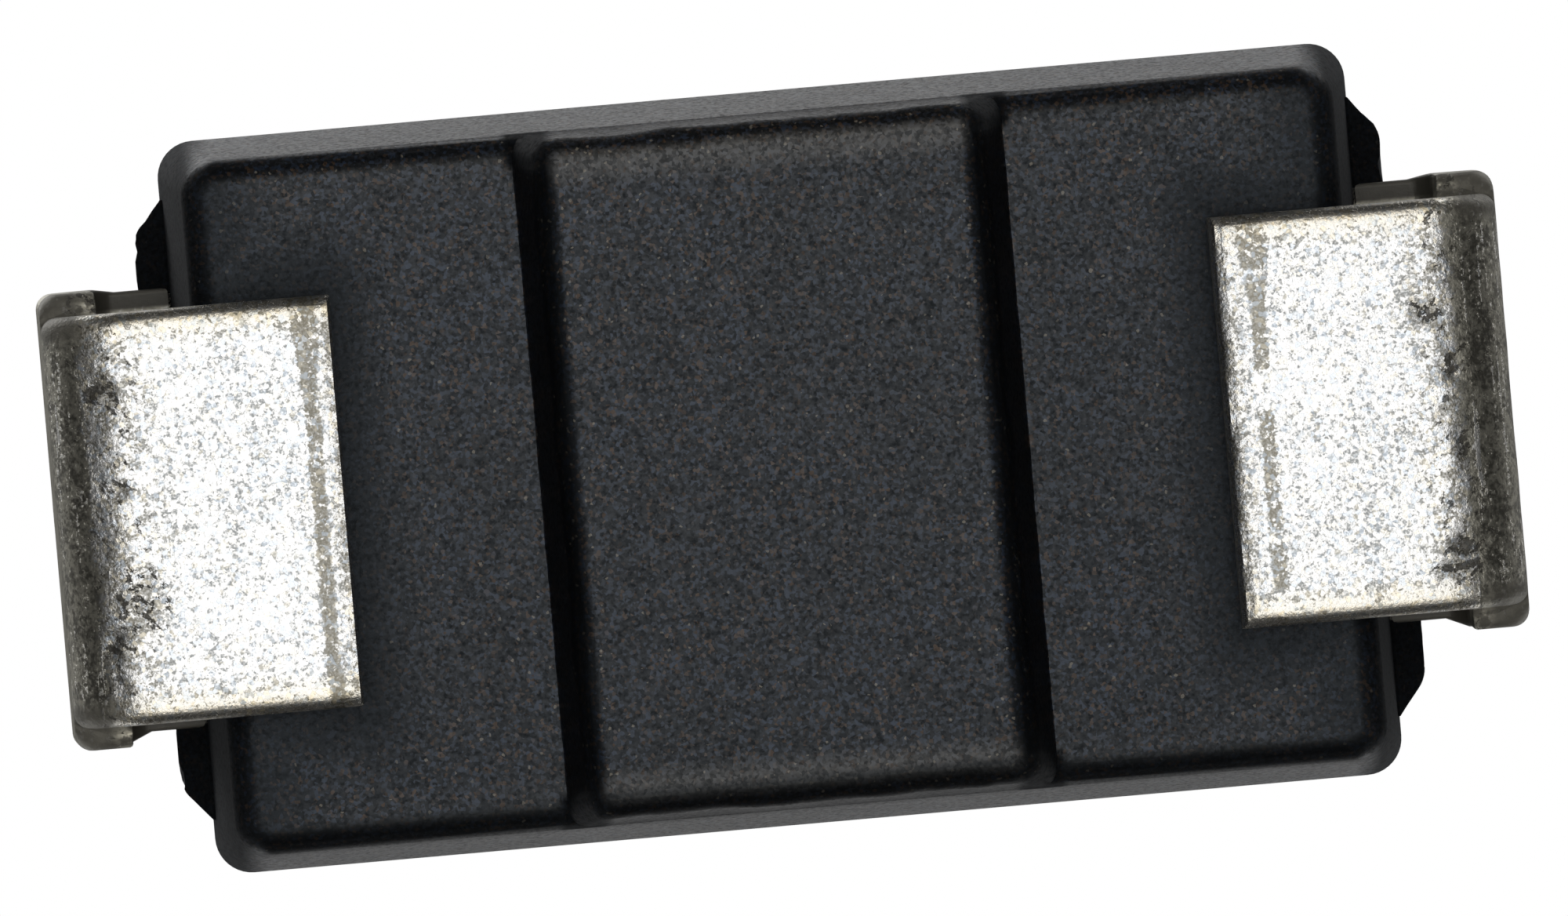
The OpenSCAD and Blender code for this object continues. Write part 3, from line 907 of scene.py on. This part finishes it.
class DIODE_OT_leads(bpy.types.Operator):
    """Models the two folded leads, each from its foot to the chip"""

    bl_idname = "diode.leads"
    bl_label = "Leads"

    anode_scuffs = (Scuff(2.28, -0.33, 0.08, 0.07, 1.0), Scuff(2.36, -0.13, 0.06, 0.07, 1.2),
                    Scuff(2.38, 0.15, 0.04, 0.12, 0.9), Scuff(2.36, 0.50, 0.10, 0.06, 1.6),
                    Scuff(2.33, 0.58, 0.11, 0.05, 1.5))
    cathode_scuffs = (Scuff(2.38, -0.44, 0.08, 0.08, 1.4), Scuff(2.35, -0.10, 0.05, 0.05, 1.0),
                      Scuff(2.30, 0.30, 0.13, 0.17, 0.8), Scuff(2.40, 0.44, 0.06, 0.08, 1.3))

    def execute(self, context):
        size = in_millimetres(context.scene.diode_lead)
        finish = context.scene.diode_finish
        ledge_out = in_millimetres(context.scene.diode_body).ledge_out
        anode = LeadEnd("anode_lead", 1, CONTACT_HIGH.x * 2, ANODE_LOW.x, size.worn_tip, size.anode_crease,
                        self.anode_scuffs, 3.1)
        cathode = LeadEnd("cathode_lead", -1, CATHODE_HIGH.x * 2, -CATHODE_HIGH.x, size.crisp_tip,
                          size.cathode_crease, self.cathode_scuffs, 7.7)
        for end in (anode, cathode):
            bm = formed_lead(size, ledge_out, end)
            worn_outer_face(bm, size, end)
            if end.side < 0:
                bmesh.ops.scale(bm, vec=(-1, 1, 1), verts=bm.verts)
                bmesh.ops.recalc_face_normals(bm, faces=bm.faces)
            lead = new_piece("formed_" + end.node, bm)
            lead.data.materials.append(tin_material(finish, size, end))
            shade(lead, sharp_degrees=40)
            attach(lead, "root")
            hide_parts(end.node)
        return {"FINISHED"}


class DIODE_OT_chip_stack(bpy.types.Operator):
    """Finishes the chip and the two solder layers inside the moulding"""

    bl_idname = "diode.chip_stack"
    bl_label = "Chip and solder"

    def execute(self, context):
        finish = context.scene.diode_finish
        silicon = plain_metal("silicon", finish.silicon, 0.12, 30.0)
        solder = plain_metal("solder", finish.solder, 0.42, 24.0)
        stack = {"silicon_die": silicon, "die_solder": solder, "contact_solder": solder}
        for node, material in stack.items():
            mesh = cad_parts[node].data
            mesh.materials.clear()
            mesh.materials.append(material)
        return {"FINISHED"}


class DIODE_OT_stage(bpy.types.Operator):
    """Adds the pale floor, the white surround, the lamps and the camera"""

    bl_idname = "diode.stage"
    bl_label = "Stage"

    def execute(self, context):
        stage = in_millimetres(context.scene.diode_stage)
        finish = context.scene.diode_finish
        add_floor(stage, finish)
        add_surround(context.scene)
        add_lamps(stage)
        add_camera(context.scene, stage)
        context.scene.view_settings.view_transform = "Standard"
        return {"FINISHED"}


# Stage

def add_floor(stage, finish):
    """A pale disc under the feet, seen only from above. It clears under the part, and fades far from it."""
    bm = bmesh.new()
    bmesh.ops.create_circle(bm, cap_ends=True, cap_tris=False, segments=96, radius=stage.floor_radius,
                            matrix=Matrix.Translation((0, 0, -stage.floor_gap)))
    floor = new_piece("floor", bm)
    material, sh = new_material("pale_floor")
    place = sh.place()
    x, y = sh.axes(place)[:2]
    camera = sh.add("ShaderNodeLightPath", output="Is Camera Ray")
    glossy = sh.add("ShaderNodeLightPath", output="Is Glossy Ray")
    behind = sh.add("ShaderNodeNewGeometry", output="Backfacing")
    soft = stage.clear_margin / 3
    near_x, near_y = LEAD_REACH + stage.clear_margin, BODY_HIGH.y + stage.clear_margin
    far_x, far_y = LEAD_REACH + stage.clear_reach, BODY_HIGH.y + stage.clear_reach
    along = sh.ramp(abs(x), far_x, far_x - 1) * sh.ramp(abs(y), near_y, near_y - soft)
    across = sh.ramp(abs(x), near_x, near_x - soft) * sh.ramp(abs(y), far_y, far_y - 1)
    away = sh.add("ShaderNodeVectorMath", {"operation": "LENGTH"}, {0: place}, "Value")
    fade = sh.ramp(away, stage.fade_start, stage.fade_end)
    open_share = behind.most((1.0 - camera) * along.most(across)).most(camera * fade)
    grain = sh.noise(place, 0.9, 3.0, 0.5)
    base = sh.mix(0.06 * grain, finish.floor, shaded(finish.floor, 0.85))
    paint = sh.add("ShaderNodeBsdfDiffuse", {}, {"Color": base})
    shown = camera.most(glossy) * stage.floor_glow
    glow = sh.add("ShaderNodeEmission", {}, {"Color": (1, 1, 1, 1), "Strength": shown})
    top = sh.add("ShaderNodeAddShader", {}, {0: paint, 1: glow})
    clear = sh.add("ShaderNodeBsdfTransparent")
    end_in(sh, "ShaderNodeMixShader", {0: open_share, 1: top, 2: clear})
    floor.data.materials.append(material)


def add_surround(scene):
    """White behind the part. The metal shows a dim room below, a dark horizon and pale panels overhead."""
    world = bpy.data.worlds.new("studio")
    scene.world = world
    world.use_nodes = True
    sh = Shader(world.node_tree)
    way = sh.add("ShaderNodeTexCoord", output="Generated")
    x, y, z = sh.axes(way)
    camera = sh.add("ShaderNodeLightPath", output="Is Camera Ray")
    below = 0.06 * sh.ramp(z, -0.15, -0.50) + 0.16 * sh.ramp(z, -0.45, -0.85)
    # Dark straight overhead, and further out towards the cathode
    middle = sh.ramp(abs(y), 0.12, 0.04)
    cathode = sh.ramp(x, -0.06, -0.14) * sh.ramp(abs(y), 0.32, 0.16)
    slot = sh.ramp(z, 0.88, 0.95) * middle.most(cathode)
    above = 0.22 * sh.ramp(z + 0.3 * abs(x), 0.35, 0.95) * (1.0 - slot)
    sides = 0.05 * sh.ramp(abs(y), 0.06, 0.20) + 0.22 * sh.ramp(y, 0.0, -0.20)
    room = 0.03 * (1.0 - slot) + below + above + sh.ramp(z, 0.90, 0.97) * sides
    strength = camera + (1.0 - camera) * room
    light = sh.add("ShaderNodeBackground", {}, {"Color": (1, 1, 1, 1), "Strength": strength})
    sh.add("ShaderNodeOutputWorld", {}, {"Surface": light}, None)


def add_lamp(name, place, target, width, height, radiance, tint=(1, 1, 1)):
    """A soft panel that faces the target. Its power follows from its size and brightness."""
    data = bpy.data.lights.new(name, "AREA")
    data.shape = "RECTANGLE"
    data.size, data.size_y = width * MM, height * MM
    data.color = tint
    data.energy = radiance * math.pi * data.size * data.size_y
    lamp = bpy.data.objects.new(name, data)
    bpy.context.scene.collection.objects.link(lamp)
    lamp.location = Vector(place) * MM
    lamp.rotation_euler = (Vector(target) - Vector(place)).to_track_quat("-Z", "Y").to_euler()
    lamp.visible_camera = False


def add_lamps(stage):
    """A panel round the camera's axis, a bar on each side of it, and soft panels above the four corners."""
    middle = (0, 0, 0)
    add_lamp("under_panel", (-1, 0, -14), (-1, 0, 0), 14, 9.5, stage.under_light)
    for side in (-1, 1):
        add_lamp("edge_bar", (0, side * 6.4, -13), middle, 9, 1.6, stage.bar_light, (1.0, 0.93, 0.80))
    add_lamp("key_panel", (-12, -12, 17), middle, 17, 14, stage.key_light)
    add_lamp("fill_panel", (12, -12, 12), middle, 15, 12, stage.fill_light)
    for side in (-1, 1):
        add_lamp("back_panel", (side * 12, 12, 13), middle, 15, 11, stage.back_light)


def add_camera(scene, stage):
    """A long lens below the part, turned and tilted as the solder side is seen in the picture."""
    data = bpy.data.cameras.new("camera")
    data.sensor_width = SENSOR_W
    data.lens = stage.lens
    camera = bpy.data.objects.new("camera", data)
    scene.collection.objects.link(camera)
    scene.camera = camera
    away = Vector((-math.tan(stage.tilt_x), -math.tan(stage.tilt_y), -1)).normalized()
    up = (-ACROSS - away * away.dot(-ACROSS)).normalized()
    up = Matrix.Rotation(-stage.roll, 3, away) @ up
    right = up.cross(away)
    distance = stage.frame_width / 2 * data.lens / (data.sensor_width / 2)
    target = Vector((0, 0, PARTING_Z)) + right * stage.slide
    turned = Matrix((right, up, away)).transposed().to_4x4()
    camera.matrix_world = Matrix.Translation((target + away * distance) * MM) @ turned
    data.clip_start = 0.1 * distance * MM
    data.clip_end = 10 * distance * MM


class DIODE_PT_panel(bpy.types.Panel):
    """Lists the sizes, the finishes and the steps"""

    bl_idname = "DIODE_PT_panel"
    bl_label = "Surface-mount diode"
    bl_space_type = "VIEW_3D"
    bl_region_type = "UI"
    bl_category = "Diode"

    def draw(self, context):
        for operator in OPERATORS:
            self.layout.operator(operator.bl_idname)
        for key in GROUPS:
            box = self.layout.box()
            group = getattr(context.scene, key)
            for prop in group.bl_rna.properties:
                if prop.type == "FLOAT":
                    label = prop.identifier.replace("_", " ").capitalize()
                    box.prop(group, prop.identifier, text=label)


OPERATORS = (DIODE_OT_moulded_body, DIODE_OT_leads, DIODE_OT_chip_stack, DIODE_OT_stage)
GROUPS = {"diode_body": BodySizes, "diode_lead": LeadSizes, "diode_finish": Finishes,
          "diode_stage": StageSizes}


def register():
    for cls in (*GROUPS.values(), *OPERATORS, DIODE_PT_panel):
        bpy.utils.register_class(cls)
    for key, group in GROUPS.items():
        setattr(bpy.types.Scene, key, PointerProperty(type=group))


def unregister():
    for key in GROUPS:
        delattr(bpy.types.Scene, key)
    for cls in reversed((*GROUPS.values(), *OPERATORS, DIODE_PT_panel)):
        bpy.utils.unregister_class(cls)


def main():
    register()
    bpy.ops.diode.moulded_body()
    bpy.ops.diode.leads()
    bpy.ops.diode.chip_stack()
    bpy.ops.diode.stage()


if __name__ == "__main__":
    main()
